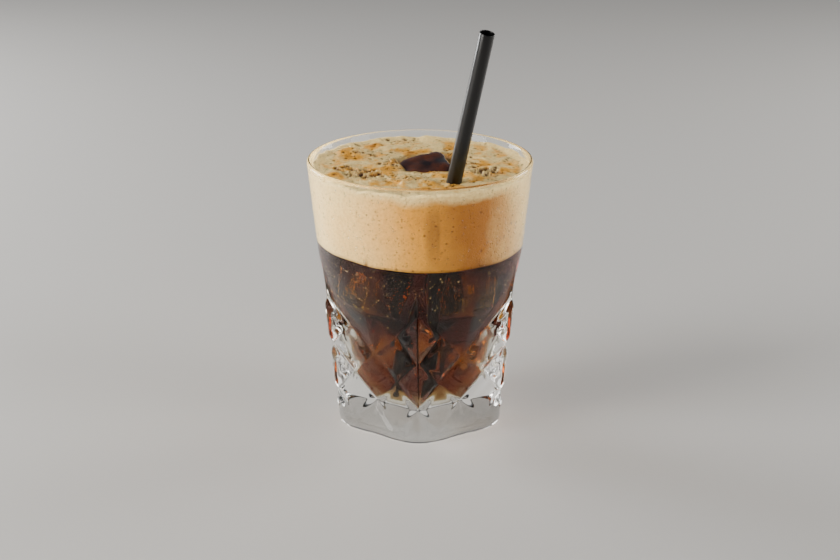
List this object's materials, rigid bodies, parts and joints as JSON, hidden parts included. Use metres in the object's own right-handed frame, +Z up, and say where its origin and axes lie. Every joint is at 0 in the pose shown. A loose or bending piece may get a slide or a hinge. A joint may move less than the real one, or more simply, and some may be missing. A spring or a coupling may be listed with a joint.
{
  "type": "iced coffee",
  "caption": "Iced coffee with a deep head of milk foam in a glass with a cut lower body, with a straight straw standing in it.",
  "frame": {"origin": "centre of the glass's underside, on the surface it stands on", "axes": "+Z up through the glass, -Y towards the side with a corner of the cut pattern facing it"},
  "size_m": [0.088, 0.088, 0.1646],
  "materials": {
    "glass": "clear and polished, pressed and cut",
    "coffee": "dark red-brown liquid",
    "foam": "fine wet foam",
    "straw": "satin black"
  },
  "bodies": {
    "root": {"glass": "glass", "coffee": "coffee", "foam": "foam", "straw": "straw"}
  },
  "joints": []
}
